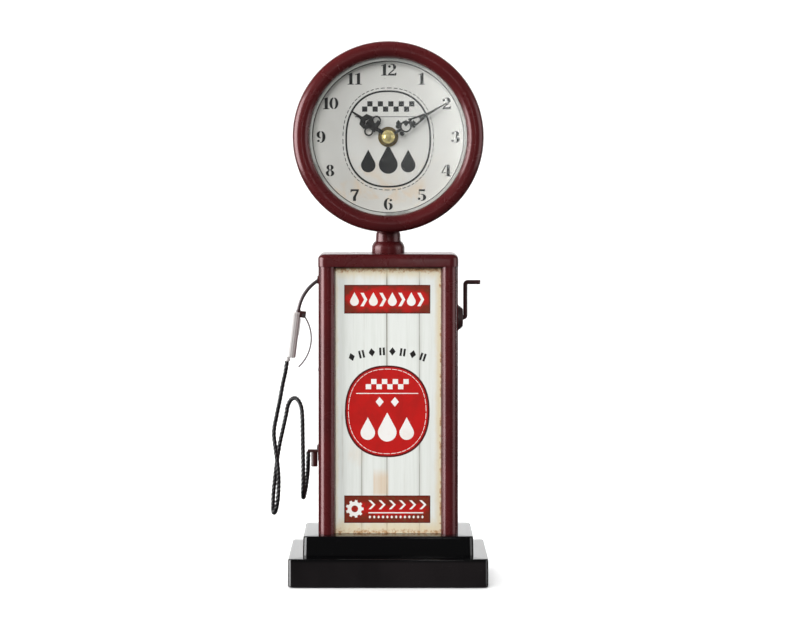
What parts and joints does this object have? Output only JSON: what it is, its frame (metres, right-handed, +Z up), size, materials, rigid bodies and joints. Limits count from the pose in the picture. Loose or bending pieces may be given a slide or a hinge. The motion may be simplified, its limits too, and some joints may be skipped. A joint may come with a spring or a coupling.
{
  "type": "table clock",
  "caption": "Table clock shaped as a vintage petrol pump, with a round head on a sheet-metal cabinet, a stepped base, a side crank, and a nozzle on a short hose.",
  "frame": {"origin": "centre of the underside of the felt pad, on the table plane, under the middle of the cabinet", "axes": "+Z up, front towards -Y, nozzle on -X, crank on +X"},
  "size_m": [0.1369, 0.09, 0.3396],
  "materials": {
    "maroon_paint": "satin",
    "gloss_black_paint": "gloss",
    "dark_red_paint": "satin",
    "printed_tin": "satin",
    "dial_print": "matte",
    "lens_glass": "clear",
    "silver_cast": "polished",
    "zinc_steel": "satin",
    "brass": "polished",
    "black_enamel": "satin",
    "black_plastic": "matte",
    "pale_plastic": "satin",
    "cell_jacket": "gloss",
    "copper_wire": "satin",
    "board_green": "matte",
    "magnet": "satin",
    "hose_rubber": "matte",
    "felt": "matte"
  },
  "bodies": {
    "root": {"felt_pad": "felt", "base_plate": "zinc_steel", "plinth_pan": "gloss_black_paint", "step_pan": "gloss_black_paint", "tie_screws": "zinc_steel", "cabinet_floor": "maroon_paint", "side_left": "maroon_paint", "side_right": "maroon_paint", "column_left": "maroon_paint", "column_right": "maroon_paint", "front_panel": "printed_tin", "back_panel": "maroon_paint", "back_panel_screws": "zinc_steel", "cabinet_roof": "maroon_paint", "top_cap": "maroon_paint", "neck_cup_lower": "maroon_paint", "neck_cup_upper": "maroon_paint", "neck_stud": "zinc_steel", "neck_nuts": "zinc_steel", "drum_shell": "maroon_paint", "bezel_ring": "maroon_paint", "glass_lens": "lens_glass", "dial_spacer": "pale_plastic", "dial_plate": "dial_print", "back_cover": "maroon_paint", "cover_screws": "zinc_steel", "mounting_nut": "brass", "mounting_washer": "brass", "rubber_washer": "black_plastic", "movement_front": "black_plastic", "movement_back": "black_plastic", "movement_plate": "brass", "centre_wheel": "brass", "third_wheel": "pale_plastic", "step_rotor": "magnet", "stator": "zinc_steel", "coil": "copper_wire", "circuit_board": "board_green", "battery": "cell_jacket", "battery_contacts": "zinc_steel", "crank_boss": "dark_red_paint", "nozzle_body": "silver_cast", "nozzle_spout": "silver_cast", "spout_grommet": "dark_red_paint", "lever_pin": "zinc_steel", "lever_yoke": "dark_red_paint", "hose_ferrule": "silver_cast", "hose_outlet": "dark_red_paint", "side_rivets": "dark_red_paint", "hose": "hose_rubber"},
    "hour": {"hour_hand": "black_enamel", "hour_wheel": "brass"},
    "minute": {"minute_hand": "black_enamel", "cap_nut": "brass", "centre_pinion": "brass"},
    "motion": {"motion_wheel": "brass"},
    "knob": {"set_knob": "black_plastic"},
    "crank": {"crank_handle": "dark_red_paint", "crank_push_nut": "zinc_steel"},
    "lever": {"trigger_lever": "silver_cast"}
  },
  "joints": [
    {"name": "hour_hand_turn", "type": "hinge", "parent": "root", "child": "hour", "pos_m": [0, -0.005, 0.2796], "axis": [0, 1, 0], "continuous": true},
    {"name": "minute_hand_turn", "type": "hinge", "parent": "root", "child": "minute", "pos_m": [0, -0.005, 0.2796], "axis": [0, 1, 0], "continuous": true},
    {"name": "motion_wheel_turn", "type": "hinge", "parent": "root", "child": "motion", "pos_m": [0.00617, -0.005, 0.28695], "axis": [0, 1, 0], "continuous": true},
    {"name": "set_knob_turn", "type": "hinge", "parent": "root", "child": "knob", "pos_m": [0, -0.005, 0.29431], "axis": [0, 1, 0], "continuous": true},
    {"name": "crank_turn", "type": "hinge", "parent": "root", "child": "crank", "pos_m": [0.0438, 0, 0.165], "axis": [1, 0, 0], "continuous": true},
    {"name": "trigger_squeeze", "type": "hinge", "parent": "root", "child": "lever", "pos_m": [-0.05372, 0, 0.16648], "axis": [0, 1, 0], "range_deg": [0, 6], "stiffness_Nm_per_rad": 0.01}
  ],
  "couplings": [
    {"joint": "minute_hand_turn", "follows": "hour_hand_turn", "ratio": 12},
    {"joint": "motion_wheel_turn", "follows": "hour_hand_turn", "ratio": -4},
    {"joint": "set_knob_turn", "follows": "hour_hand_turn", "ratio": 12}
  ]
}
